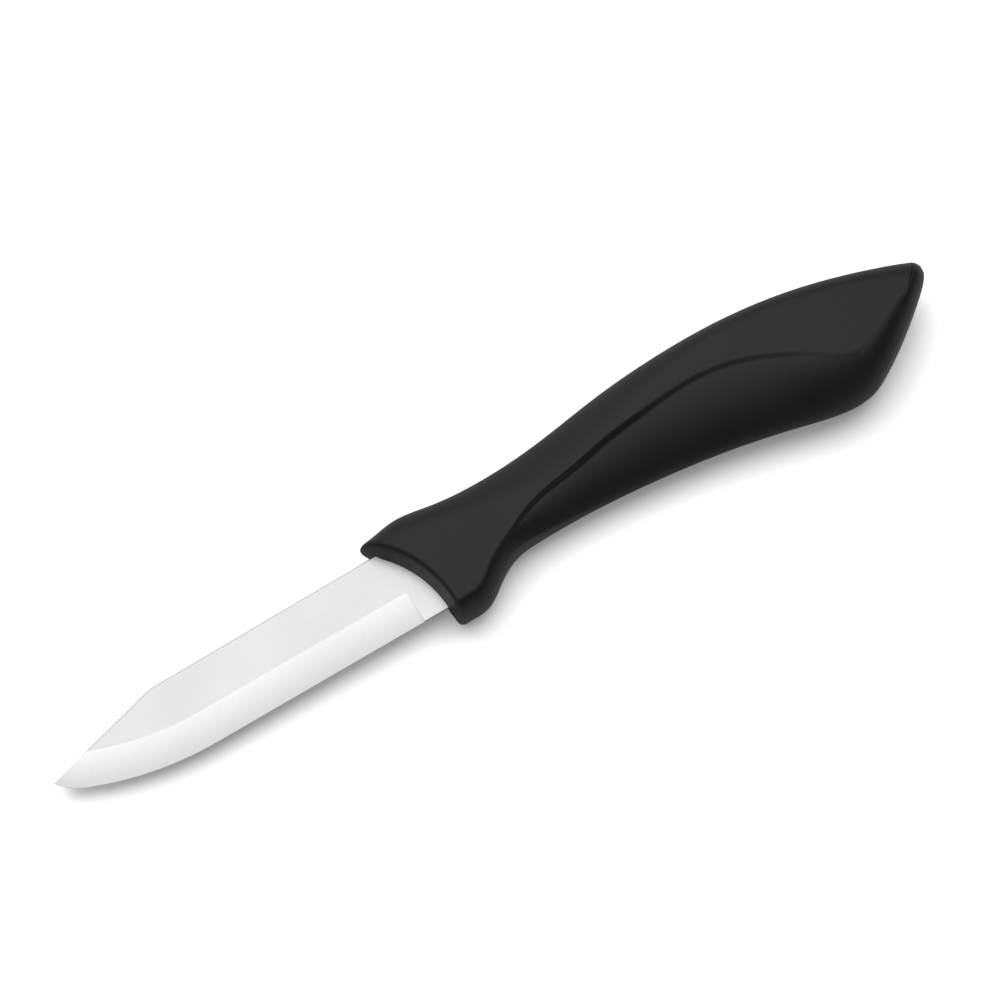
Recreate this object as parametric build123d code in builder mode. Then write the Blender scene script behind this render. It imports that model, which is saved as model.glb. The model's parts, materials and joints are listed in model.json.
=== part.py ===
"""A paring knife: a stamped blade with a handle moulded over its tang.

Lengths are in millimetres. The knife is drawn flat: x runs from the tip to the
butt, y from the cutting edge up to the spine, with y = 0 on the line of the
spine, and z across the thickness, with z = 0 in the middle of the blade. It is
then laid on its side as it rests on a table, on the guard and on the belly.
"""

from build123d import *

from math import atan2, degrees
import os

# Overall sizes
blade_reach = 68.6
handle_length = 116.4
overrun = 4.0

# Blade
blade_thickness = 1.2
blade_drop = 15.3
heel_rise = 0.6
belly_start = 28.0
nose_reach = 4.4
nose_drop = 9.6
tip_drop = 6.0
clip_length = 22.9
clip_radius = 6.0
bevel_width = 6.4
edge_thickness = 0.2
plunge_setback = 4.8
hollow_depth = 0.06
spine_chamfer = 0.15

# Tang, inside the handle
shoulder_depth = 4.0
tang_length = 62.0
tang_top_drop = 2.2
tang_front_width = 9.0
tang_end_width = 7.6
tang_end_drop = 3.4
hole_drop = 6.9
tang_corner = 2.0
hole_diameter = 5.0
first_hole = 14.0
hole_pitch = 26.0
hole_count = 2

# Handle seen from its flank: rises above and drops below the line of the spine
front_rise = 2.4
corner_rise = 3.05
crest_rise = 3.7
crest_back_rise = 2.8
neck_rise = 2.0
shoulder_rise = 4.45
hump_rise = 5.35
rump_rise = 2.3
butt_drop = 4.2
end_drop = 13.0
guard_drop = 19.3
guard_heel_drop = 18.4
guard_back_drop = 16.0
throat_drop = 13.6
neck_drop = 13.1
hollow_drop = 13.45
grip_drop = 14.5
swell_drop = 16.65
haunch_drop = 19.75
belly_drop = 21.9
rump_drop = 21.4
tail_drop = 17.5

# Handle, half thicknesses
guard_half = 6.0
neck_half = 5.8
grip_half = 7.0
belly_half = 8.3
butt_half = 7.2

# Handle, how far its rounded sides reach in from the outline
spine_round = 4.0
guard_round = 3.2
neck_round = 4.4
grip_round = 9.0
belly_round = 13.5
rump_round = 8.0
even_fullness_share = 0.55
belly_fullness_share = 0.42

# Handle, front wall and butt
front_wall_setback = 7.1
front_wall_radius = 21.0
front_wall_centre_drop = 15.3
front_fillet = 0.6
butt_low_drop = 19.5
butt_high_drop = 8.35
butt_fillet_share = 0.009

# Line on the flank: where it runs, and the step down from the cheek to the belly
line_end_drop = 18.5
line_rump_drop = 12.4
line_belly_drop = 5.6
line_top_drop = 3.7
line_grip_drop = 6.0
line_neck_drop = 8.4
line_guard_drop = 15.1
guard_step = 2.0
neck_step = 1.2
middle_step = 0.6
rear_step = 0.2
end_step = -0.3
blank_margin = 0.1
crown_offset = 2.0

# Places along the handle, as shares of its length
front_share = -0.06
corner_share = 0.02
crest_share = 0.062
guard_share = 0.09
crest_back_share = 0.12
guard_heel_share = 0.125
guard_back_share = 0.158
throat_share = 0.2
neck_top_share = 0.21
neck_share = 0.24
hollow_share = 0.33
grip_share = 0.43
swell_share = 0.56
hump_share = 0.61
haunch_share = 0.68
belly_share = 0.76
rump_share = 0.82
tail_share = 0.92
butt_low_share = 0.859
butt_high_share = 0.992
butt_share = 0.98
end_share = 1.02
line_guard_share = 0.155
line_neck_share = 0.243
line_grip_share = 0.38
line_top_share = 0.565
line_belly_share = 0.665
line_rump_share = 0.769
line_end_share = 0.82
blank_shares = (-0.06, 0.02, 0.09, 0.15, 0.2, 0.25, 0.34, 0.45, 0.56, 0.67, 0.76, 0.83, 0.92, 1.02)
grip_shares = (0.1, 0.13, 0.16, 0.2, 0.25, 0.34, 0.45, 0.56, 0.67, 0.76, 0.83, 0.92)

bevel_slope = (blade_thickness - edge_thickness) / 2 / bevel_width
bevel_middle = (blade_thickness + edge_thickness) / 4 - hollow_depth
front_wall_reach = blade_reach + front_wall_setback
plunge_reach = front_wall_reach - plunge_setback
tang_start = front_wall_reach + shoulder_depth


def station(share):
    """The x of a place along the handle."""
    return blade_reach + share * handle_length


# The plane of the butt runs from the belly's corner to the spine's
butt_low = Vector(station(butt_low_share), -butt_low_drop)
butt_high = Vector(station(butt_high_share), -butt_high_drop)
butt_line = (butt_high - butt_low).normalized()
butt_start = butt_low - butt_line * handle_length / 2
butt_end = butt_high + butt_line * handle_length / 2
butt_reach = Vector(butt_line.Y, -butt_line.X) * handle_length / 2


def value_at(curve, x):
    """The y of a curve where it passes x."""
    return curve.edge().intersect(Plane.YZ.offset(x))[0].Y


# Curves that the handle follows: its two outlines, its half thickness, how far
# its rounded belly side reaches in, the step on its flank and the line of that step
with BuildLine() as spine_side:
    Spline(
        (station(front_share) - overrun, front_rise),
        (station(corner_share), corner_rise),
        (station(crest_share), crest_rise),
        (station(crest_back_share), crest_back_rise),
        (station(neck_top_share), neck_rise),
        (station(grip_share), shoulder_rise),
        (station(hump_share), hump_rise),
        (station(rump_share), rump_rise),
        (station(butt_share), -butt_drop),
        (station(end_share) + overrun, -end_drop),
    )
with BuildLine() as belly_side:
    Spline(
        (station(front_share) - overrun, -guard_drop),
        (station(guard_share), -guard_drop),
        (station(guard_heel_share), -guard_heel_drop),
        (station(guard_back_share), -guard_back_drop),
        (station(throat_share), -throat_drop),
        (station(neck_share), -neck_drop),
        (station(hollow_share), -hollow_drop),
        (station(grip_share), -grip_drop),
        (station(swell_share), -swell_drop),
        (station(haunch_share), -haunch_drop),
        (station(belly_share), -belly_drop),
        (station(rump_share), -rump_drop),
        (station(tail_share), -tail_drop),
        (station(end_share) + overrun, -tail_drop),
    )
with BuildLine() as half_thickness:
    Spline(
        (station(front_share) - overrun, guard_half),
        (station(guard_share), guard_half),
        (station(neck_share), neck_half),
        (station(grip_share), grip_half),
        (station(belly_share), belly_half),
        (station(end_share) + overrun, butt_half),
    )
with BuildLine() as rounding:
    Spline(
        (station(front_share) - overrun, guard_round),
        (station(guard_share), guard_round),
        (station(neck_share), neck_round),
        (station(grip_share), grip_round),
        (station(hump_share), belly_round),
        (station(rump_share), rump_round),
        (station(end_share) + overrun, guard_round),
    )
with BuildLine() as step_down:
    Spline(
        (station(front_share) - overrun, guard_step),
        (station(guard_back_share), guard_step),
        (station(neck_share), neck_step),
        (station(swell_share), middle_step),
        (station(belly_share), rear_step),
        (station(end_share) + overrun, end_step),
    )
with BuildLine() as flank_line:
    Spline(
        (station(line_guard_share), -line_guard_drop),
        (station(line_neck_share), -line_neck_drop),
        (station(line_grip_share), -line_grip_drop),
        (station(line_top_share), -line_top_drop),
        (station(line_belly_share), -line_belly_drop),
        (station(line_rump_share), -line_rump_drop),
        (station(line_end_share), -line_end_drop),
    )


def cross_section(share, top, low, half, low_round, fullness):
    """An oval across the handle, flat on both flanks and rounded on both sides."""
    inner_top = top - spine_round
    inner_low = low + low_round
    rise = even_fullness_share * spine_round
    fall = fullness * low_round
    with BuildSketch(Plane.YZ.offset(station(share))) as oval:
        with BuildLine():
            Line((inner_low, half), (inner_top, half))
            Bezier(
                (inner_top, half),
                (inner_top + rise, half),
                (top, even_fullness_share * half),
                (top, 0),
            )
            Bezier(
                (top, 0),
                (top, -even_fullness_share * half),
                (inner_top + rise, -half),
                (inner_top, -half),
            )
            Line((inner_top, -half), (inner_low, -half))
            Bezier(
                (inner_low, -half),
                (inner_low - fall, -half),
                (low, -fullness * half),
                (low, 0),
            )
            Bezier(
                (low, 0),
                (low, fullness * half),
                (inner_low - fall, half),
                (inner_low, half),
            )
        make_face()
    return oval.sketch


# The blade: a flat blank with a tang, holed so that the plastic runs through it
with BuildPart() as blade:
    with BuildSketch() as blade_plan:
        with BuildLine():
            edge_line = Line((tang_start, -blade_drop), (belly_start, heel_rise - blade_drop))
            belly_arc = TangentArc(edge_line @ 1, (nose_reach, -nose_drop), tangent=edge_line % 1)
            nose_arc = TangentArc(belly_arc @ 1, (0, -tip_drop), tangent=belly_arc % 1)
            FilletPolyline(nose_arc @ 1, (clip_length, 0), (tang_start, 0), radius=clip_radius)
            Line((tang_start, 0), (tang_start, -blade_drop))
        make_face()
        with BuildLine():
            Polyline(
                (front_wall_reach, -tang_top_drop),
                (tang_start + tang_length, -tang_end_drop),
                (tang_start + tang_length, -tang_end_drop - tang_end_width),
                (front_wall_reach, -tang_top_drop - tang_front_width),
                close=True,
            )
        make_face()
        fillet(blade_plan.vertices().group_by(Axis.X)[-1], tang_corner)
        with Locations((tang_start + first_hole, -hole_drop)):
            with GridLocations(hole_pitch, 0, hole_count, 1, align=(Align.MIN, Align.CENTER)):
                Circle(hole_diameter / 2, mode=Mode.SUBTRACT)
    extrude(amount=blade_thickness / 2, both=True)
    rims = blade.edges().filter_by(Plane.XY).filter_by_position(Axis.Y, -tip_drop, 0)
    chamfer(rims.filter_by_position(Axis.X, 0, front_wall_reach), spine_chamfer)
    # The ground bevels follow the cutting edge from the heel past the tip
    with BuildLine() as grind_path:
        heel_line = Line((plunge_reach, -blade_drop), edge_line @ 1)
        belly_path = TangentArc(heel_line @ 1, (nose_reach, -nose_drop), tangent=heel_line % 1)
        nose_path = TangentArc(belly_path @ 1, (0, -tip_drop), tangent=belly_path % 1)
        Line(nose_path @ 1, nose_path @ 1 + (nose_path % 1) * (bevel_width + overrun))
    with BuildSketch(Plane.YZ.offset(plunge_reach)) as grind:
        with BuildLine():
            ThreePointArc(
                (-blade_drop, edge_thickness / 2),
                (-blade_drop + bevel_width / 2, bevel_middle),
                (-blade_drop + bevel_width, blade_thickness / 2),
            )
            Polyline(
                (-blade_drop + bevel_width, blade_thickness / 2),
                (-blade_drop + bevel_width, blade_thickness),
                (-blade_drop - overrun, blade_thickness),
                (-blade_drop - overrun, edge_thickness / 2 - overrun * bevel_slope),
                (-blade_drop, edge_thickness / 2),
            )
        make_face()
        mirror(about=Plane.XZ)
    sweep(path=grind_path.wire(), mode=Mode.SUBTRACT)

# The grip: the lower, rounder surface of the belly, below the line on the flank
with BuildPart() as grip:
    ovals = []
    for share in grip_shares:
        x = station(share)
        ovals.append(
            cross_section(
                share,
                value_at(spine_side, x) + spine_round,
                value_at(belly_side, x),
                value_at(half_thickness, x) - value_at(step_down, x),
                value_at(rounding, x) + crown_offset,
                belly_fullness_share,
            )
        )
    loft(ovals)

# What the line on the flank leaves of the blank outside the grip
with BuildPart() as relief:
    with BuildSketch() as below_line:
        with BuildLine():
            add(flank_line.line)
            Polyline(
                flank_line.line @ 1,
                (station(line_end_share), -belly_drop - overrun - overrun),
                (station(line_guard_share), -belly_drop - overrun - overrun),
                flank_line.line @ 0,
            )
        make_face()
    extrude(amount=belly_half + overrun, both=True)
    add(grip.part, mode=Mode.SUBTRACT)

# The handle: ovals along the curves, then the relief, the front wall and the butt
with BuildPart() as handle:
    ovals = []
    for share in blank_shares:
        x = station(share)
        ovals.append(
            cross_section(
                share,
                value_at(spine_side, x),
                value_at(belly_side, x) - blank_margin,
                value_at(half_thickness, x),
                value_at(rounding, x),
                belly_fullness_share,
            )
        )
    loft(ovals)
    add(relief.part, mode=Mode.SUBTRACT)
    with BuildSketch() as front_cut:
        with Locations((front_wall_reach - front_wall_radius, -front_wall_centre_drop)):
            Circle(front_wall_radius)
    extrude(amount=belly_half + overrun, both=True, mode=Mode.SUBTRACT)
    front_wall = handle.faces().filter_by(GeomType.CYLINDER).sort_by(Axis.X)[0]
    fillet(front_wall.edges(), front_fillet)
    with BuildSketch() as butt_cut:
        with BuildLine():
            Polyline(butt_start, butt_end, butt_end + butt_reach, butt_start + butt_reach, close=True)
        make_face()
    extrude(amount=belly_half + overrun, both=True, mode=Mode.SUBTRACT)
    butt_wall = handle.faces().filter_by(GeomType.PLANE).sort_by(Axis.X)[-1]
    fillet(butt_wall.edges(), butt_fillet_share * handle_length)
    add(blade.part, mode=Mode.SUBTRACT)

# The knife lies on its side, on the guard and on the belly
lean = degrees(atan2(belly_half - guard_half, (belly_share - guard_share) * handle_length))
lying = Rotation(0, -lean, 0)
outline = Compound([blade.part.moved(lying), handle.part.moved(lying)]).bounding_box()
middle = outline.center()
resting = Location((-middle.X, -middle.Y, -outline.min.Z)) * lying
with BuildPart() as resting_blade:
    add(blade.part.moved(resting))
with BuildPart() as resting_handle:
    add(handle.part.moved(resting))

os.makedirs("parts", exist_ok=True)
resting_blade.part.label = "blade"
export_step(resting_blade.part, "parts/blade.step")
resting_handle.part.label = "handle"
export_step(resting_handle.part, "parts/handle.step")
print("lean in degrees", round(lean, 4), "tip at", resting.position)
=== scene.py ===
"""The looks of a paring knife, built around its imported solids.

The knife lies on its side on a white table. Its blade is the solid from the frame
with a satin steel finish, and its handle is a fine mesh that stands for the solid
handle. Sizes are in millimetres in the knife's own frame: x from the point to the
butt, y from the spine's line up, z from the middle plane up. The frame says where
that lies on the table.
"""

import json
import logging
import math
from collections.abc import Callable
from dataclasses import dataclass, field
from enum import Enum
from typing import Any

import bmesh
import bpy
import numpy as np
from mathutils import Matrix, Vector


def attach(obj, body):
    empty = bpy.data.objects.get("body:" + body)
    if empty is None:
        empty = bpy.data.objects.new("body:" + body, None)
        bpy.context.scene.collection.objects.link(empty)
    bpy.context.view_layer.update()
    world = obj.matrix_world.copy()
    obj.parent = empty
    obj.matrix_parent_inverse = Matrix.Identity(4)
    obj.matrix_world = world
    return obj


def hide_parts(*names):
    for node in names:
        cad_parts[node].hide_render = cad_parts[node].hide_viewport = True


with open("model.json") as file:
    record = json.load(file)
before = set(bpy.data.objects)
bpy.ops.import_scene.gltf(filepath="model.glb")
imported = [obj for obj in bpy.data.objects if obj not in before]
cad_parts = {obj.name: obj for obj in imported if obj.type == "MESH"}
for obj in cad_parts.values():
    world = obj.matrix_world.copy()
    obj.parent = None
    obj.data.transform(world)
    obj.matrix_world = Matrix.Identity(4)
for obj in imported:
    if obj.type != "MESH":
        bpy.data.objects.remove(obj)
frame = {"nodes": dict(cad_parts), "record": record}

MM = 0.001
WHITE = (1.0, 1.0, 1.0, 1.0)

# How often a search for a crossing halves its range
HALVINGS = 50

# In metres: points this near to each other become one, and shorter edges go
WELD_REACH = 2e-6
LEAST_EDGE = 1e-7

log = logging.getLogger("paring_knife")

Colour = tuple[float, float, float]
Spot = tuple[float, float, float]
Edge = Callable[[np.ndarray], np.ndarray]


class Side(Enum):
    """The two halves of the handle's moulding."""

    UPPER = 1
    LOWER = -1


# Places and curves


@dataclass(frozen=True)
class Place:
    """Where the knife lies: the point of its own frame's origin, and its lean."""

    origin: Vector
    lean: float

    @classmethod
    def from_record(cls, record: dict[str, Any], tip_drop: float) -> "Place":
        """Reads the place from the mount at the blade's point.

        Args:
            record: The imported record.
            tip_drop: How far the point lies below the spine's line.

        Returns:
            The knife's place, in metres.
        """
        mount = next(m for m in record["mounts"] if m["name"] == "blade_in_slot")
        along = -Vector(mount["axis"])
        origin = Vector(mount["pos_m"]) + Vector((0, tip_drop * MM, 0))
        return cls(origin, math.atan2(along.z, along.x))

    def matrix(self) -> Matrix:
        """The move from the knife's frame, in metres, to the table's."""
        return Matrix.Translation(self.origin) @ Matrix.Rotation(-self.lean, 4, "Y")

    def apply(self, points: np.ndarray) -> np.ndarray:
        """Moves points to the table.

        Args:
            points: Points in the knife's frame, in millimetres.

        Returns:
            The same points on the table, in metres.
        """
        move = np.array(self.matrix())
        return points * MM @ move[:3, :3].T + move[:3, 3]


class Curve:
    """A smooth curve y(x) through points, which doesn't bend at its two ends."""

    def __init__(self, *points: tuple[float, float]) -> None:
        """Solves the curve.

        Args:
            points: The points that it passes, in the order of x.
        """
        self.x, self.y = np.array(points, float).T
        step = np.diff(self.x)
        slope = np.diff(self.y) / step
        count = len(self.x)
        rows = np.zeros((count, count))
        right = np.zeros(count)
        rows[0, 0] = rows[-1, -1] = 1
        for i in range(1, count - 1):
            rows[i, i - 1 : i + 2] = step[i - 1], 2 * (step[i - 1] + step[i]), step[i]
            right[i] = 6 * (slope[i] - slope[i - 1])
        self.bend = np.linalg.solve(rows, right)

    def _pick(self, x: np.ndarray) -> tuple[np.ndarray, ...]:
        """Finds the stretch that each x lies in.

        Args:
            x: Places along the curve.

        Returns:
            The stretch's number and length, and the weights of its two ends.
        """
        i = np.clip(np.searchsorted(self.x, x) - 1, 0, len(self.x) - 2)
        step = self.x[i + 1] - self.x[i]
        a = (self.x[i + 1] - x) / step
        return i, step, a, 1 - a

    def at(self, x: np.ndarray | float) -> np.ndarray:
        """Reads the curve.

        Args:
            x: Places along the curve. Past its ends it keeps its last value.

        Returns:
            The curve's y at each place.
        """
        i, step, a, b = self._pick(np.clip(x, self.x[0], self.x[-1]))
        bent = (a**3 - a) * self.bend[i] + (b**3 - b) * self.bend[i + 1]
        return a * self.y[i] + b * self.y[i + 1] + bent * step**2 / 6

    def slope(self, x: np.ndarray | float) -> np.ndarray:
        """Reads the curve's slope.

        Args:
            x: Places along the curve. Past its ends it keeps its last slope.

        Returns:
            The slope at each place.
        """
        i, step, a, b = self._pick(np.clip(x, self.x[0], self.x[-1]))
        bent = (3 * b**2 - 1) * self.bend[i + 1] - (3 * a**2 - 1) * self.bend[i]
        return (self.y[i + 1] - self.y[i]) / step + bent * step / 6


def eased(count: int, softness: float) -> np.ndarray:
    """Shares from 0 to 1 that stand closer together at both ends.

    Args:
        count: How many there are.
        softness: 0 for even steps, and 1 for the closest ends.

    Returns:
        The shares, in order.
    """
    share = np.linspace(0, 1, count)
    return (1 - softness) * share + softness * (0.5 - 0.5 * np.cos(np.pi * share))


# Finishes


def opaque(colour: Colour) -> tuple[float, float, float, float]:
    """A colour with the fourth value that a socket takes."""
    return (*colour, 1.0)


def grey(level: float) -> tuple[float, float, float, float]:
    """A grey of one level, for a socket."""
    return (level, level, level, 1.0)


class NodeSheet:
    """Adds nodes to one tree and links them in short calls."""

    def __init__(self, tree: bpy.types.NodeTree) -> None:
        """Empties the tree and keeps it."""
        self.tree = tree
        tree.nodes.clear()

    def add(self, kind: str, sockets: dict[Any, Any] | None = None, **settings: Any) -> Any:
        """Adds one node.

        Args:
            kind: The node's type.
            sockets: Each input's value, or the output that feeds it.
            settings: The node's own settings.

        Returns:
            The new node.
        """
        node = self.tree.nodes.new(kind)
        for name, value in settings.items():
            setattr(node, name, value)
        for name, value in (sockets or {}).items():
            if isinstance(value, bpy.types.NodeSocket):
                self.tree.links.new(value, node.inputs[name])
            else:
                node.inputs[name].default_value = value
        return node

    def maths(self, operation: str, *values: Any) -> Any:
        """A Math node's output, from numbers or sockets."""
        return self.add("ShaderNodeMath", dict(enumerate(values)), operation=operation).outputs[0]

    def ramp(self, value: Any, stops: list[tuple[float, float]]) -> Any:
        """A grey Color Ramp.

        Args:
            value: The output that it reads.
            stops: Each stop's place and level.

        Returns:
            The ramp's colour output.
        """
        node = self.add("ShaderNodeValToRGB", {"Fac": value})
        band = node.color_ramp
        while len(band.elements) < len(stops):
            band.elements.new(0.5)
        for element, (place, level) in zip(band.elements, stops):
            element.position = place
            element.color = grey(level)
        return node.outputs["Color"]

    def mixed(self, share: Any, first: Any, second: Any, blend: str = "MIX") -> Any:
        """Mixes two colours, which are sockets 6 and 7 of a Mix node.

        Args:
            share: How much of the second colour there is, from 0 to 1.
            first: The first colour.
            second: The second colour.
            blend: How the second is laid on the first.

        Returns:
            The output with the mixed colour.
        """
        sockets = {0: share, 6: first, 7: second}
        return self.add("ShaderNodeMix", sockets, data_type="RGBA", blend_type=blend).outputs[2]

    def noise(self, spot: Any, scale: float, detail: float, roughness: float) -> Any:
        """A Noise Texture.

        Args:
            spot: The output with the place that it reads.
            scale: How fast it varies.
            detail: How many finer layers it has.
            roughness: How strong the finer layers are.

        Returns:
            The output with its level, from 0 to 1.
        """
        sockets = {"Vector": spot, "Scale": scale, "Detail": detail, "Roughness": roughness}
        return self.add("ShaderNodeTexNoise", sockets).outputs["Fac"]

    def bump(self, height: Any, strength: float, depth: float) -> Any:
        """A Bump node's normal, for a relief of a depth in millimetres."""
        sockets = {"Height": height, "Strength": strength, "Distance": depth * MM}
        return self.add("ShaderNodeBump", sockets).outputs[0]

    def finish(self, shader: bpy.types.Node, output: str = "ShaderNodeOutputMaterial") -> None:
        """Makes a shader what the tree shows."""
        self.add(output, {"Surface": shader.outputs[0]})


def new_material(name: str) -> tuple[bpy.types.Material, NodeSheet]:
    """Makes an empty material with nodes.

    Args:
        name: The material's name.

    Returns:
        The material, and the sheet that its nodes go on.
    """
    material = bpy.data.materials.new(name)
    material.use_nodes = True
    return material, NodeSheet(material.node_tree)


@dataclass(frozen=True)
class SatinSteel:
    """Stainless steel: flats brushed along the blade, bevels ground across it."""

    flat_colour: Colour = (0.65, 0.65, 0.653)
    flat_gain: float = 1.08
    # Painted reflection on the bevels: the bevel colour is the steel's own, painted lighter as a
    # highlight at the bevel's top, and the edge colour is a painted shade towards the cutting
    # edge.
    bevel_colour_and_highlight: Colour = (0.77, 0.77, 0.77)
    painted_edge_shade_colour: Colour = (0.44, 0.44, 0.44)
    painted_edge_shade_fade: float = 0.6
    # Painted shade: a darker band along the spine and the clipped point, standing in for the
    # shading of the blade's edge.
    painted_rim_shade_colour: Colour = (0.50, 0.50, 0.50)
    painted_rim_shade_width: float = 0.45
    grind_margin: float = 0.004
    flat_roughness: float = 0.36
    bevel_roughness: float = 0.30
    cloud_scale: float = 55.0
    cloud_drift: float = 0.10
    streak_drift: float = 0.12
    grain_pitch: float = 0.12
    grain_stretch: float = 0.012
    grain_depth: float = 0.004
    grain_strength: float = 0.35
    grain_range: tuple[float, float] = (0.35, 0.65)
    groove_level: float = 0.93

    def build(self, place: Place, blade: "Blade") -> bpy.types.Material:
        """Makes the material.

        Args:
            place: Where the knife lies, which turns the grain.
            blade: The blade, whose thickness tells its flats from its bevels.

        Returns:
            The finished material.
        """
        material, sheet = new_material("satin_steel")
        spot = sheet.add("ShaderNodeTexCoord").outputs["Object"]
        turned = sheet.add(
            "ShaderNodeMapping",
            {"Vector": spot, "Location": place.origin, "Rotation": (0, -place.lean, 0)},
            vector_type="TEXTURE",
        ).outputs[0]
        axes = sheet.add("ShaderNodeSeparateXYZ", {0: turned})
        half = blade.thickness / 2
        height = sheet.maths("ABSOLUTE", axes.outputs["Z"])
        ground = sheet.maths("LESS_THAN", height, (half - self.grind_margin) * MM)

        pitch = 1 / (self.grain_pitch * MM)
        long_grain = self.grain(sheet, turned, (pitch * self.grain_stretch, pitch, pitch))
        cross_grain = self.grain(sheet, turned, (pitch, pitch * self.grain_stretch, pitch))
        grain = sheet.mixed(ground, long_grain, cross_grain)
        cloud = sheet.noise(turned, self.cloud_scale, detail=3.0, roughness=0.5)

        low, high = self.grain_range
        polished = tuple(level * self.flat_gain for level in self.flat_colour)
        brushed = sheet.ramp(long_grain, [(low, 0), (high, 1)])
        flats = sheet.mixed(brushed, opaque(self.flat_colour), opaque(polished))
        # Painted shade along the spine and the clipped point darkens the flats there.
        flats = sheet.mixed(self.from_painted_rim_shade(sheet, axes, blade), opaque(self.painted_rim_shade_colour), flats)
        # Painted reflection: each bevel runs from the painted shade at the cutting edge to the
        # painted highlight at its top.
        depth = sheet.maths("POWER", sheet.maths("DIVIDE", height, half * MM), self.painted_edge_shade_fade)
        bevels = sheet.mixed(depth, opaque(self.painted_edge_shade_colour), opaque(self.bevel_colour_and_highlight))
        grooves = sheet.ramp(cross_grain, [(low, self.groove_level), (high, 1)])
        bevels = sheet.mixed(1.0, bevels, grooves, "MULTIPLY")
        colour = sheet.mixed(ground, flats, bevels)

        base = sheet.mixed(ground, grey(self.flat_roughness), grey(self.bevel_roughness))
        drift = sheet.maths("MULTIPLY_ADD", cloud, self.cloud_drift, -self.cloud_drift / 2)
        streak = sheet.maths("MULTIPLY_ADD", grain, self.streak_drift, -self.streak_drift / 2)
        roughness = sheet.maths("ADD", base, sheet.maths("ADD", drift, streak))
        bump = sheet.bump(grain, self.grain_strength, self.grain_depth)
        shader = sheet.add(
            "ShaderNodeBsdfPrincipled",
            {"Base Color": colour, "Metallic": 1.0, "Roughness": roughness, "Normal": bump},
        )
        sheet.finish(shader)
        return material

    def from_painted_rim_shade(self, sheet: NodeSheet, axes: bpy.types.Node, blade: "Blade") -> Any:
        """How far away the painted shade along the spine's and the clipped point's edges is.

        Args:
            sheet: The sheet to add to.
            axes: The node that gives the place on the blade.
            blade: The blade, with the clipped point's sizes.

        Returns:
            The output that is 0 on the rim and 1 beyond its width.
        """
        below_spine = sheet.maths("MULTIPLY", axes.outputs["Y"], -1)
        rise = math.atan2(blade.tip_drop, blade.clip_length)
        start = -blade.tip_drop * MM * math.cos(rise)
        along = sheet.maths("MULTIPLY_ADD", axes.outputs["X"], math.sin(rise), start)
        below_clip = sheet.maths("MULTIPLY_ADD", axes.outputs["Y"], -math.cos(rise), along)
        inside = sheet.maths("MINIMUM", below_spine, below_clip)
        return sheet.add(
            "ShaderNodeMapRange",
            {"Value": inside, "From Min": 0.0, "From Max": self.painted_rim_shade_width * MM},
            interpolation_type="SMOOTHSTEP",
        ).outputs[0]

    def grain(self, sheet: NodeSheet, spot: Any, scale: Spot) -> Any:
        """Fine parallel scratches.

        Args:
            sheet: The sheet to add to.
            spot: The output with the place in the knife's frame.
            scale: How fast the pattern runs along x, y and z.

        Returns:
            The output with the pattern, from 0 to 1.
        """
        drawn = sheet.add("ShaderNodeMapping", {"Vector": spot, "Scale": scale}).outputs[0]
        return sheet.noise(drawn, 1.0, detail=4.0, roughness=0.62)


@dataclass(frozen=True)
class MattPlastic:
    """Black moulded plastic with a fine spark-eroded texture."""

    colour: Colour = (0.0026, 0.0026, 0.0028)
    worn_colour: Colour = (0.0042, 0.0042, 0.0044)
    roughness: float = 0.55
    ior: float = 1.48
    cloud_scale: float = 90.0
    cloud_drift: float = 0.12
    cloud_range: tuple[float, float] = (0.35, 0.70)
    texture_pitch: float = 0.22
    texture_depth: float = 0.010
    texture_strength: float = 0.5

    def build(self) -> bpy.types.Material:
        """Makes the material.

        Returns:
            The finished material.
        """
        material, sheet = new_material("matt_black_plastic")
        spot = sheet.add("ShaderNodeTexCoord").outputs["Object"]
        pits = sheet.noise(spot, 1 / (self.texture_pitch * MM), detail=2.0, roughness=0.55)
        cloud = sheet.noise(spot, self.cloud_scale, detail=4.0, roughness=0.6)
        low, high = self.cloud_range
        spread = sheet.ramp(cloud, [(low, 0), (high, 1)])
        colour = sheet.mixed(spread, opaque(self.colour), opaque(self.worn_colour))
        least = self.roughness - self.cloud_drift / 2
        roughness = sheet.maths("MULTIPLY_ADD", cloud, self.cloud_drift, least)
        bump = sheet.bump(pits, self.texture_strength, self.texture_depth)
        shader = sheet.add(
            "ShaderNodeBsdfPrincipled",
            {"Base Color": colour, "Roughness": roughness, "IOR": self.ior, "Normal": bump},
        )
        sheet.finish(shader)
        return material


@dataclass(frozen=True)
class WhiteTable:
    """The white table, which keeps the knife's shadow.

    The knife mirrors it darker than the camera sees it. Its lift is a light of its
    own that only the camera and mirrors see, so that the open table shows white.
    """

    colour: Colour = (0.80, 0.80, 0.80)
    mirrored_colour: Colour = (0.42, 0.42, 0.42)
    lift: float = 0.20
    mirrored_lift: float = 0.05

    def build(self) -> bpy.types.Material:
        """Makes the material.

        Returns:
            The finished material.
        """
        material, sheet = new_material("white_table")
        path = sheet.add("ShaderNodeLightPath")
        seen = path.outputs["Is Camera Ray"]
        colour = sheet.mixed(seen, opaque(self.mirrored_colour), opaque(self.colour))
        matt = sheet.add("ShaderNodeBsdfDiffuse", {"Color": colour})
        mirrored = sheet.maths("MULTIPLY", path.outputs["Is Glossy Ray"], self.mirrored_lift)
        level = sheet.maths("MULTIPLY_ADD", seen, self.lift, mirrored)
        glow = sheet.add("ShaderNodeEmission", {"Color": WHITE, "Strength": level})
        sheet.finish(sheet.add("ShaderNodeAddShader", {0: matt.outputs[0], 1: glow.outputs[0]}))
        return material


# The knife


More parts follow.
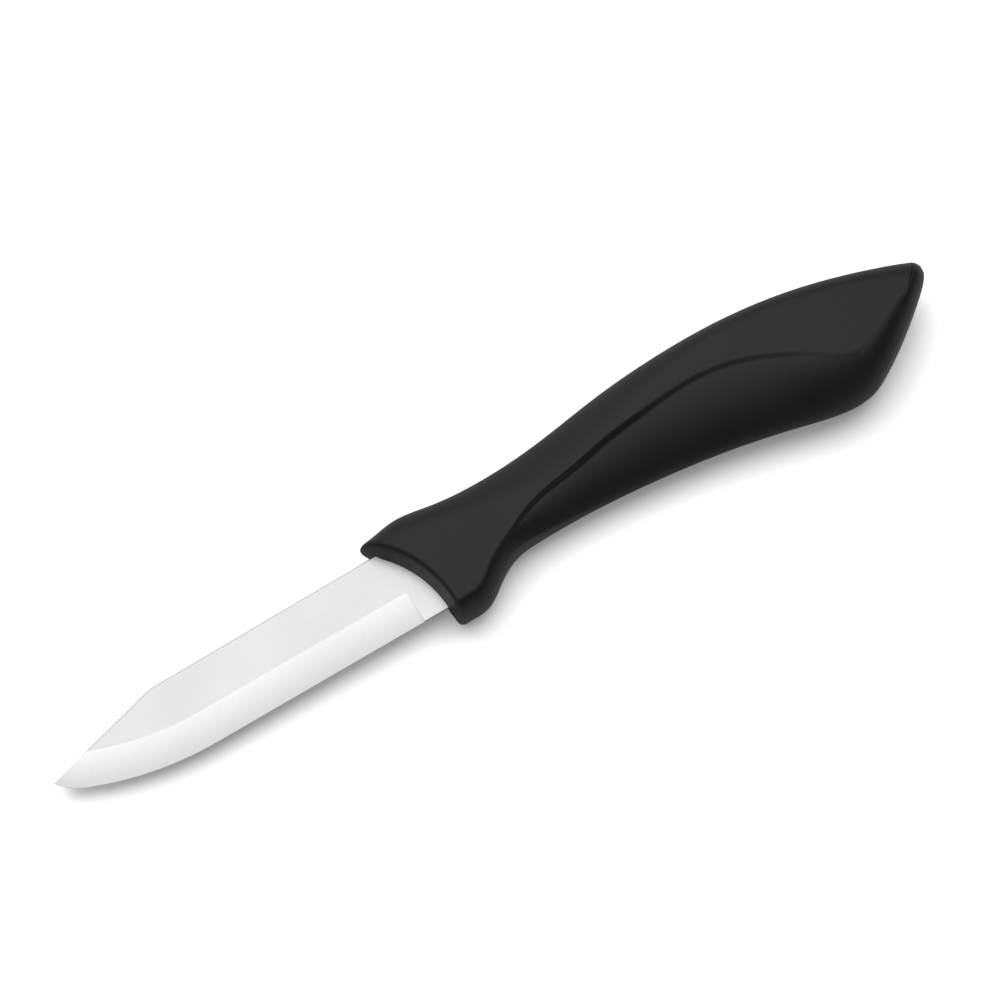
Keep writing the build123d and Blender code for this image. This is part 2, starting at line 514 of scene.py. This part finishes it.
@dataclass
class Blade:
    """The steel blade: the frame's own solid, with its finish."""

    thickness: float = 1.2
    tip_drop: float = 6.0
    clip_length: float = 22.9
    finish: SatinSteel = field(default_factory=SatinSteel)

    def dress(self, node: bpy.types.Object, place: Place) -> None:
        """Gives the solid its finish.

        Args:
            node: The frame's blade.
            place: Where the knife lies.
        """
        steel = self.finish.build(place, self)
        for slot in node.material_slots:
            slot.material = steel
        log.info("blade: %d faces in satin steel", len(node.data.polygons))


@dataclass
class Handle:
    """The moulded handle, as a height above its middle plane on both sides.

    Each of its four sides, at the spine, the belly, the front wall and the butt,
    takes away a share of the flank's squared height by a profile of its own. Where
    two sides meet, what they take away makes a round corner. Beyond the line on
    the flank, towards the belly, the surface lies a small step lower. Points along
    the curves are given as shares of the handle's length, from the front.
    """

    blade_reach: float = 68.6
    length: float = 116.4
    front_reach: float = 75.7
    front_radius: float = 21.0
    front_centre_drop: float = 15.3
    front_draft: float = 10.0
    front_fillet: float = 1.15
    butt_low: tuple[float, float] = (168.47, -19.5)
    butt_high: tuple[float, float] = (183.97, -8.35)
    butt_bulge: float = 0.45
    butt_break_share: float = 0.08
    belly_power: float = 1.653
    wall_run: float = 0.5
    butt_wall: float = 0.4
    rump_power: float = 4.0
    edge_points: int = 400
    columns: int = 300
    column_softness: float = 0.65
    cheek_softness: float = 0.75
    wall_share: float = 0.45
    cheek_rows: int = 64
    wall_rows: int = 8
    grip_rows: int = 54
    finish: MattPlastic = field(default_factory=MattPlastic)

    def __post_init__(self) -> None:
        """Solves the curves that the handle follows."""
        self.spine = Curve(
            *self.stations(
                (-0.06, 2.4),
                (0.02, 3.05),
                (0.06, 3.7),
                (0.12, 2.82),
                (0.2, 2.05),
                (0.32, 2.8),
                (0.44, 4.62),
                (0.56, 5.34),
                (0.68, 4.82),
                (0.8, 2.72),
                (0.92, -1.15),
                (1.0, -4.8),
                (1.054, -8.2),
            )
        )
        self.belly = Curve(
            *self.stations(
                (-0.094, -19.3),
                (0.05, -19.3),
                (0.09, -19.2),
                (0.12, -18.75),
                (0.16, -15.75),
                (0.2, -13.5),
                (0.24, -13.1),
                (0.32, -13.4),
                (0.44, -14.6),
                (0.56, -16.6),
                (0.68, -19.67),
                (0.76, -21.85),
                (0.81, -22.3),
                (0.87, -21.6),
                (1.054, -19.0),
            )
        )
        self.half = Curve(
            *self.stations(
                (-0.094, 6.0), (0.09, 6.0), (0.24, 5.8), (0.43, 7.0), (0.76, 8.3), (1.054, 7.2)
            )
        )
        self.rounding = Curve(
            *self.stations(
                (-0.094, 3.0),
                (0.12, 3.0),
                (0.18, 3.1),
                (0.24, 4.4),
                (0.3, 6.8),
                (0.43, 11.2),
                (0.61, 15.0),
                (0.72, 12.5),
                (0.8, 8.4),
                (0.9, 6.0),
                (1.054, 5.0),
            )
        )
        self.belly_wall = Curve(
            *self.stations(
                (-0.094, 0.0),
                (0.06, 0.1),
                (0.12, 0.3),
                (0.2, 0.42),
                (0.3, 0.25),
                (0.4, 0.0),
                (1.054, 0.0),
            )
        )
        self.crown = Curve(
            *self.stations(
                (-0.094, 4.4),
                (0.1, 4.7),
                (0.2, 6.4),
                (0.3, 9.0),
                (0.42, 8.4),
                (0.53, 5.6),
                (0.7, 4.2),
                (0.9, 4.8),
                (1.054, 6.5),
            )
        )
        self.step = Curve(
            *self.stations(
                (-0.094, 0.0),
                (0.12, 0.0),
                (0.18, 0.1),
                (0.23, 0.7),
                (0.29, 1.0),
                (0.5, 0.5),
                (0.7, 0.3),
                (0.8, 0.08),
                (0.86, 0.0),
            )
        )
        self.line = Curve(
            *self.stations(
                (0.12, -19.6),
                (0.143, -15.9),
                (0.177, -12.0),
                (0.226, -8.7),
                (0.28, -6.8),
                (0.32, -6.15),
                (0.36, -5.4),
                (0.4, -4.5),
                (0.46, -3.75),
                (0.535, -3.2),
                (0.6, -3.5),
                (0.665, -5.4),
                (0.72, -8.4),
                (0.769, -12.1),
                (0.8, -14.5),
                (0.844, -14.3),
                (0.893, -12.5),
                (0.953, -8.6),
                (0.98, -5.6),
                (1.01, -1.0),
            )
        )
        self.wall_width = Curve(
            *self.stations(
                (0.1, 1.0), (0.28, 0.8), (0.34, 0.9), (0.4, 1.2), (0.5, 1.3), (0.9, 1.3)
            )
        )
        self.butt_band = Curve(
            (-0.6, 8.0),
            (0, 6.2),
            (0.28, 4.7),
            (0.5, 3.8),
            (0.8, 2.7),
            (0.95, 2.9),
            (1.1, 3.6),
        )

    def stations(self, *points: tuple[float, float]) -> list[tuple[float, float]]:
        """Turns shares of the handle's length into x, in millimetres."""
        return [(self.blade_reach + share * self.length, value) for share, value in points]

    def fall(self, x: np.ndarray, y: np.ndarray) -> np.ndarray:
        """How much of the flank's height the four sides take away.

        Args:
            x: Places along the knife.
            y: Places across it.

        Returns:
            The share of the squared height that is gone: 1 on the outline.
        """
        spine = (self.spine.at(x) - y) / np.hypot(1, self.spine.slope(x)) / self.crown.at(x)
        lost_at_spine = np.clip(1 - spine, 0, None) ** 2
        power = self.rump_power
        belly, butt = self.lost_at_belly(x, y), self.lost_at_butt(x, y)
        rump = (belly**power + butt**power) ** (1 / power)
        return lost_at_spine + rump + self.lost_at_front(x, y)

    def lost_at_belly(self, x: np.ndarray, y: np.ndarray) -> np.ndarray:
        """The squared height lost at the belly: a rounded side over a steep wall.

        Args:
            x: Places along the knife.
            y: Places across it.

        Returns:
            The share of the squared height that is gone.
        """
        inside = (y - self.belly.at(x)) / np.hypot(1, self.belly.slope(x))
        wall = np.clip(self.belly_wall.at(x), 0, 1) ** 2
        side = self.lost_by_power(inside / self.rounding.at(x), self.belly_power)
        foot = self.lost_by_power(inside / self.wall_run, 2.0)
        return (1 - wall) * side + wall * foot

    @staticmethod
    def lost_by_power(inside: np.ndarray, power: float) -> np.ndarray:
        """The squared height lost beside an outline with a rounded side.

        Args:
            inside: The distance from the outline, as a share of the rounding's reach.
            power: 2 for an ellipse, less for a sharper side.

        Returns:
            The share of the squared height that is gone.
        """
        away = np.clip(1 - inside, 0, None)
        kept = np.clip(1 - away**power, 0, None) ** (2 / power)
        return np.where(away > 1, away**2, 1 - kept)

    def lost_at_front(self, x: np.ndarray, y: np.ndarray) -> np.ndarray:
        """The squared height lost at the hollow front wall, which leans back.

        Args:
            x: Places along the knife.
            y: Places across it.

        Returns:
            The share of the squared height that is gone.
        """
        centre = self.front_reach - self.front_radius
        inside = np.hypot(x - centre, y + self.front_centre_drop) - self.front_radius
        height = self.half.at(self.front_reach)
        draft = math.tan(math.radians(self.front_draft))
        turn = math.radians(90 - self.front_draft)
        run = self.front_fillet * math.tan(turn / 2)
        end = height * draft + run
        start = (height - run * math.sin(turn)) * draft
        arc = np.sqrt(np.clip(self.front_fillet**2 - (inside - end) ** 2, 0, None))
        level = np.where(inside < start, inside / draft, height - self.front_fillet + arc)
        level = np.where(inside > end, height, level) / height
        return np.where(inside < 0, 1 - inside, 1 - level**2)

    def butt_circle(self) -> tuple[np.ndarray, float]:
        """The circle of the butt's outline, which bulges a little.

        Returns:
            The circle's centre and radius.
        """
        low, high = np.array(self.butt_low), np.array(self.butt_high)
        half_chord = np.hypot(*(high - low)) / 2
        radius = (half_chord**2 + self.butt_bulge**2) / (2 * self.butt_bulge)
        along = (high - low) / (2 * half_chord)
        inward = np.array([-along[1], along[0]])
        return (low + high) / 2 + inward * (radius - self.butt_bulge), radius

    def lost_at_butt(self, x: np.ndarray, y: np.ndarray) -> np.ndarray:
        """The squared height lost in the butt's rounded band, which has a crisp edge.

        Args:
            x: Places along the knife.
            y: Places across it.

        Returns:
            The share of the squared height that is gone.
        """
        low, high = np.array(self.butt_low), np.array(self.butt_high)
        along = high - low
        centre, radius = self.butt_circle()
        inside = radius - np.hypot(x - centre[0], y - centre[1])
        share = ((x - low[0]) * along[0] + (y - low[1]) * along[1]) / (along @ along)
        away = np.clip(1 - inside / self.butt_band.at(share), 0, None)
        kept = self.butt_break_share * np.clip(4 * share * (1 - share), 0, 1)
        arc = kept + (1 - kept) * away
        band = np.where(away <= 0, 0, 1 - (1 - arc**2) / (1 - kept**2))
        foot = self.lost_by_power(inside / self.wall_run, 2.0)
        return (1 - self.butt_wall**2) * band + self.butt_wall**2 * foot

    def front_edge(self, share: np.ndarray) -> np.ndarray:
        """Points down the front wall, from the spine's corner to the guard's tip.

        Args:
            share: Each point's share of the way down.

        Returns:
            The points' x and y.
        """
        centre = np.array([self.front_reach - self.front_radius, -self.front_centre_drop])
        start, stop = self.crossings(
            centre, self.front_radius, spine_range=(0.3, 1.5), belly_range=(-1.2, 0.3)
        )
        angle = start + (stop - start) * share
        return centre + self.front_radius * np.stack([np.cos(angle), np.sin(angle)], -1)

    def butt_edge(self, share: np.ndarray) -> np.ndarray:
        """Points down the butt, from the spine's corner to the belly's.

        Args:
            share: Each point's share of the way down.

        Returns:
            The points' x and y.
        """
        centre, radius = self.butt_circle()
        start, stop = self.crossings(
            centre, radius, spine_range=(-0.9, 0.1), belly_range=(-1.5, -0.6)
        )
        angle = start + (stop - start) * share
        return centre + radius * np.stack([np.cos(angle), np.sin(angle)], -1)

    def crossings(
        self,
        centre: np.ndarray,
        radius: float,
        spine_range: tuple[float, float],
        belly_range: tuple[float, float],
    ) -> tuple[float, float]:
        """The angles at which a circle meets the spine's and the belly's curves.

        Args:
            centre: The circle's centre.
            radius: The circle's radius.
            spine_range: Two angles, below and above the spine's curve.
            belly_range: Two angles, below and above the belly's curve.

        Returns:
            The angle at the spine and the angle at the belly.
        """
        found = []
        for curve, (low, high) in ((self.spine, spine_range), (self.belly, belly_range)):
            for _ in range(HALVINGS):
                middle = (low + high) / 2
                x = centre[0] + radius * math.cos(middle)
                y = centre[1] + radius * math.sin(middle)
                low, high = (low, middle) if y > curve.at(x) else (middle, high)
            found.append((low + high) / 2)
        return found[0], found[1]

    def patch(self, along: np.ndarray, across: np.ndarray, edges: dict[str, Edge]) -> np.ndarray:
        """Fills the outline with a grid between its four edges.

        Args:
            along: Each point's share of the way from the front wall to the butt.
            across: Each point's share of the way from the spine to the belly.
            edges: For each edge, a function from a share to points on it.

        Returns:
            The points' x and y.
        """
        s, t = along[..., None], across[..., None]
        front, butt = edges["front"](across), edges["butt"](across)
        spine, belly = edges["spine"](along), edges["belly"](along)
        zero, one = np.zeros_like(along), np.ones_like(along)
        corners = (
            (1 - s) * (1 - t) * edges["front"](zero)
            + (1 - s) * t * edges["front"](one)
            + s * (1 - t) * edges["butt"](zero)
            + s * t * edges["butt"](one)
        )
        return (1 - s) * front + s * butt + (1 - t) * spine + t * belly - corners

    def plain_edges(self) -> dict[str, Edge]:
        """The outline's four edges, with its corners still sharp.

        Returns:
            For each edge, a function from a share to points on it.
        """
        zero, one = np.zeros(1), np.ones(1)
        top = self.front_edge(zero)[0, 0], self.butt_edge(zero)[0, 0]
        low = self.front_edge(one)[0, 0], self.butt_edge(one)[0, 0]

        def spine(share: np.ndarray) -> np.ndarray:
            """Points along the spine."""
            x = top[0] + (top[1] - top[0]) * share
            return np.stack([x, self.spine.at(x)], -1)

        def belly(share: np.ndarray) -> np.ndarray:
            """Points along the belly."""
            x = low[0] + (low[1] - low[0]) * share
            return np.stack([x, self.belly.at(x)], -1)

        return {"front": self.front_edge, "butt": self.butt_edge, "spine": spine, "belly": belly}

    def round_edges(self) -> dict[str, Edge]:
        """The outline's four edges, drawn in to where the height is nothing.

        Returns:
            For each edge, a function from a share to points on it.
        """
        plain = self.plain_edges()
        margin, near_spine, near_belly = 0.08, 0.12, 0.7
        share = eased(self.edge_points, 1)
        inner_along = np.clip(share, margin, 1 - margin)
        inner_across = np.clip(share, near_spine, near_belly)
        targets = {
            "front": (np.full_like(share, margin), inner_across),
            "butt": (np.full_like(share, 1 - margin), inner_across),
            "spine": (inner_along, np.full_like(share, near_spine)),
            "belly": (inner_along, np.full_like(share, near_belly)),
        }
        rounded = {}
        for name, edge in plain.items():
            outer = edge(share)
            inner = self.patch(*targets[name], plain)
            near, far = np.zeros_like(share), np.ones_like(share)
            for _ in range(HALVINGS):
                middle = (near + far) / 2
                spot = outer + (inner - outer) * middle[:, None]
                gone = self.fall(spot[:, 0], spot[:, 1]) >= 1
                near = np.where(gone, middle, near)
                far = np.where(gone, far, middle)
            drawn = outer + (inner - outer) * far[:, None]
            rounded[name] = self.table_of(share, drawn)
        return rounded

    @staticmethod
    def table_of(share: np.ndarray, points: np.ndarray) -> Edge:
        """Makes an edge from points on it.

        Args:
            share: The points' shares of the way.
            points: The points' x and y.

        Returns:
            A function from a share to points on the edge.
        """

        def read(at: np.ndarray) -> np.ndarray:
            """Points between those of the table."""
            return np.stack([np.interp(at, share, points[:, i]) for i in (0, 1)], -1)

        return read

    def line_shares(self, along: np.ndarray, edges: dict[str, Edge]) -> np.ndarray:
        """Where the line on the flank crosses each column.

        Args:
            along: The columns' shares.
            edges: The outline's edges.

        Returns:
            For each column, its share across: 1 where the line has left the outline.
        """
        low, high = np.zeros_like(along), np.ones_like(along)
        for _ in range(HALVINGS):
            middle = (low + high) / 2
            spot = self.patch(along, middle, edges)
            x = spot[:, 0]
            inside = (x > self.line.x[0]) & (x < self.line.x[-1])
            above = ~inside | (spot[:, 1] > self.line.at(x))
            low, high = np.where(above, middle, low), np.where(above, high, middle)
        return high

    def surface(self) -> np.ndarray:
        """The upper half's grid.

        Returns:
            The points, rows from the spine to the belly by columns from the front.
        """
        edges = self.round_edges()
        along = eased(self.columns, self.column_softness)
        line = self.line_shares(along, edges)
        spot = self.patch(along, line, edges)
        width = np.hypot(*(edges["belly"](along) - edges["spine"](along)).T)
        most = self.wall_share * (1 - line)
        room = np.clip(self.wall_width.at(spot[:, 0]) / width, 0, most)
        cheek = eased(self.cheek_rows, self.cheek_softness)
        wall = np.linspace(0, 1, self.wall_rows + 1)[1:]
        grip = np.sin(np.pi / 2 * np.linspace(0, 1, self.grip_rows + 1)[1:])
        start = line + room
        across = np.concatenate(
            [
                cheek[:, None] * line,
                line + wall[:, None] * room,
                start + grip[:, None] * (1 - start),
            ]
        )
        blend = np.concatenate([np.zeros_like(cheek), wall, np.ones_like(grip)])
        blend = blend**2 * (3 - 2 * blend)
        grid = self.patch(np.broadcast_to(along, across.shape), across, edges)
        x, y = grid[..., 0], grid[..., 1]
        high = self.half.at(x)
        low = high - np.clip(self.step.at(x), 0, None)
        z = high + (low - high) * blend[:, None]
        z = z * np.sqrt(np.clip(1 - self.fall(x, y), 0, None))
        rim = np.zeros(x.shape, bool)
        rim[0, :] = rim[-1, :] = rim[:, 0] = rim[:, -1] = True
        z[rim] = 0
        return np.stack([x, y, z], -1)

    def build(self, place: Place) -> bpy.types.Object:
        """Builds the handle's mesh on the table.

        Args:
            place: Where the knife lies.

        Returns:
            The new object.
        """
        grid = self.surface()
        count = grid[..., 0].size
        points, faces = [], []
        for side in Side:
            number = np.arange(count).reshape(grid.shape[:2]) + len(points) * count
            ring = [number[:-1, :-1], number[1:, :-1], number[1:, 1:], number[:-1, 1:]]
            if side is Side.LOWER:
                ring.reverse()
            faces.append(np.stack(ring, -1).reshape(-1, 4))
            points.append(grid.reshape(-1, 3) * (1, 1, side.value))
        mesh = bpy.data.meshes.new("moulded_handle")
        corners = place.apply(np.concatenate(points))
        mesh.from_pydata(corners.tolist(), [], np.concatenate(faces).tolist())
        handle = bpy.data.objects.new("moulded_handle", mesh)
        bpy.context.scene.collection.objects.link(handle)
        self.weld(mesh)
        return handle

    @staticmethod
    def weld(mesh: bpy.types.Mesh) -> None:
        """Joins the two halves along their outline and smooths the faces.

        Args:
            mesh: The mesh, which is changed in place.
        """
        work = bmesh.new()
        work.from_mesh(mesh)
        bmesh.ops.remove_doubles(work, verts=work.verts, dist=WELD_REACH)
        bmesh.ops.dissolve_degenerate(work, dist=LEAST_EDGE, edges=work.edges)
        bmesh.ops.recalc_face_normals(work, faces=work.faces)
        for face in work.faces:
            face.smooth = True
        work.to_mesh(mesh)
        work.free()

    def dress(self, handle: bpy.types.Object) -> None:
        """Gives the handle its finish and its place in the frame.

        Args:
            handle: The handle's object.
        """
        handle.data.materials.append(self.finish.build())
        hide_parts("handle")
        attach(handle, "root")
        log.info("handle: %d faces in matt black plastic", len(handle.data.polygons))


# The studio


@dataclass(frozen=True)
class SkyPatch:
    """One bright patch of the sky that shines on the knife and is mirrored in it."""

    way: Spot
    dark_cosine: float
    bright_cosine: float
    strength: float

    def level(self, sheet: NodeSheet, way: bpy.types.NodeSocket) -> bpy.types.NodeSocket:
        """The patch's brightness in each direction.

        Args:
            sheet: The sheet to add to.
            way: The output with the direction looked in.

        Returns:
            The output that falls softly to nothing outside the patch.
        """
        middle = Vector(self.way).normalized()
        facing = sheet.add(
            "ShaderNodeVectorMath", {0: way, 1: middle}, operation="DOT_PRODUCT"
        ).outputs["Value"]
        return sheet.add(
            "ShaderNodeMapRange",
            {
                "Value": facing,
                "From Min": self.dark_cosine,
                "From Max": self.bright_cosine,
                "To Min": 0.0,
                "To Max": self.strength,
            },
            interpolation_type="SMOOTHSTEP",
        ).outputs[0]


@dataclass
class Studio:
    """A white table under a wide soft light, seen from above and in front.

    The view's angles, target, distance and lens are those at which the knife's
    outline falls on the one in the photograph.
    """

    table_size: float = 0.9
    turn: float = -35.906
    rise: float = 69.555
    roll: float = 4.102
    distance: float = 580.3
    target: Spot = (94.57, -2.744, 0.0)
    focal_length: float = 115.2
    near_clip: float = 0.01
    far_clip: float = 20
    key_power: float = 10.0
    lamp_size: float = 1.0
    lamp_spot: Spot = (0.0, 0.29, 0.95)
    overhead: SkyPatch = SkyPatch((0.25, 0.15, 0.95), 0.77, 0.98, 1.43)
    ahead: SkyPatch = SkyPatch((-0.44, 0.15, 0.88), 0.80, 0.97, 1.6)
    behind: SkyPatch = SkyPatch((0.05, 0.88, 0.44), 0.76, 0.97, 0.75)
    dark_strength: float = 0.04

    def build_table(self) -> None:
        """Lays the table under the knife."""
        half = self.table_size / 2
        corners = [(-half, -half, 0), (half, -half, 0), (half, half, 0), (-half, half, 0)]
        mesh = bpy.data.meshes.new("table")
        mesh.from_pydata(corners, [], [(0, 1, 2, 3)])
        mesh.materials.append(WhiteTable().build())
        table = bpy.data.objects.new("table", mesh)
        bpy.context.scene.collection.objects.link(table)
        log.info("table: %.1f m wide", self.table_size)

    def build_light(self) -> None:
        """Hangs a wide soft light above and a little behind, under a patchy sky.

        The lamp isn't mirrored in the knife. The sky's patches are, and between
        them the sky is dark. The camera sees plain white in its place.
        """
        lamp = bpy.data.lights.new("soft_box", "AREA")
        lamp.shape = "RECTANGLE"
        lamp.size, lamp.size_y = self.lamp_size, self.lamp_size
        lamp.energy = self.key_power
        soft_box = bpy.data.objects.new("soft_box", lamp)
        soft_box.location = self.lamp_spot
        soft_box.visible_glossy = False
        aim = Vector((0, 0, 0)) - soft_box.location
        soft_box.rotation_euler = aim.to_track_quat("-Z", "Y").to_euler()
        bpy.context.scene.collection.objects.link(soft_box)

        world = bpy.data.worlds.new("pale_sky")
        world.use_nodes = True
        sheet = NodeSheet(world.node_tree)
        way = sheet.add("ShaderNodeTexCoord").outputs["Generated"]
        level = self.dark_strength
        for patch in (self.overhead, self.ahead, self.behind):
            level = sheet.maths("MAXIMUM", patch.level(sheet, way), level)
        sky = sheet.add("ShaderNodeBackground", {"Color": WHITE, "Strength": level})
        white = sheet.add("ShaderNodeBackground", {"Color": WHITE, "Strength": 1.0})
        seen = sheet.add("ShaderNodeLightPath").outputs["Is Camera Ray"]
        both = sheet.add("ShaderNodeMixShader", {0: seen, 1: sky.outputs[0], 2: white.outputs[0]})
        sheet.finish(both, "ShaderNodeOutputWorld")
        bpy.context.scene.world = world
        log.info("light: one soft box and a pale sky")

    def build_camera(self, place: Place) -> None:
        """Stands the camera where the photograph was taken from.

        Args:
            place: Where the knife lies.
        """
        turn, rise, roll = (math.radians(v) for v in (self.turn, self.rise, self.roll))
        back = Vector(
            (math.sin(turn) * math.cos(rise), -math.cos(turn) * math.cos(rise), math.sin(rise))
        )
        level = Vector((math.cos(turn), math.sin(turn), 0))
        up = back.cross(level)
        right = level * math.cos(roll) + up * math.sin(roll)
        over = up * math.cos(roll) - level * math.sin(roll)
        spot = place.matrix() @ (Vector(self.target) * MM) + back * self.distance * MM
        lens = bpy.data.cameras.new("camera")
        lens.lens = self.focal_length
        lens.clip_start, lens.clip_end = self.near_clip, self.far_clip
        camera = bpy.data.objects.new("camera", lens)
        turned = Matrix((right, over, back)).transposed().to_4x4()
        camera.matrix_world = Matrix.Translation(spot) @ turned
        bpy.context.scene.collection.objects.link(camera)
        bpy.context.scene.camera = camera
        bpy.context.scene.view_settings.view_transform = "Standard"
        log.info("camera: %.0f mm from the knife", self.distance)


def main() -> None:
    """Builds the knife and its studio."""
    logging.basicConfig(level=logging.INFO, format="%(name)s %(message)s")
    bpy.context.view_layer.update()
    blade = Blade()
    place = Place.from_record(frame["record"], blade.tip_drop)
    blade.dress(frame["nodes"]["blade"], place)
    handle = Handle()
    handle.dress(handle.build(place))
    studio = Studio()
    studio.build_table()
    studio.build_light()
    studio.build_camera(place)


if __name__ == "__main__":
    main()
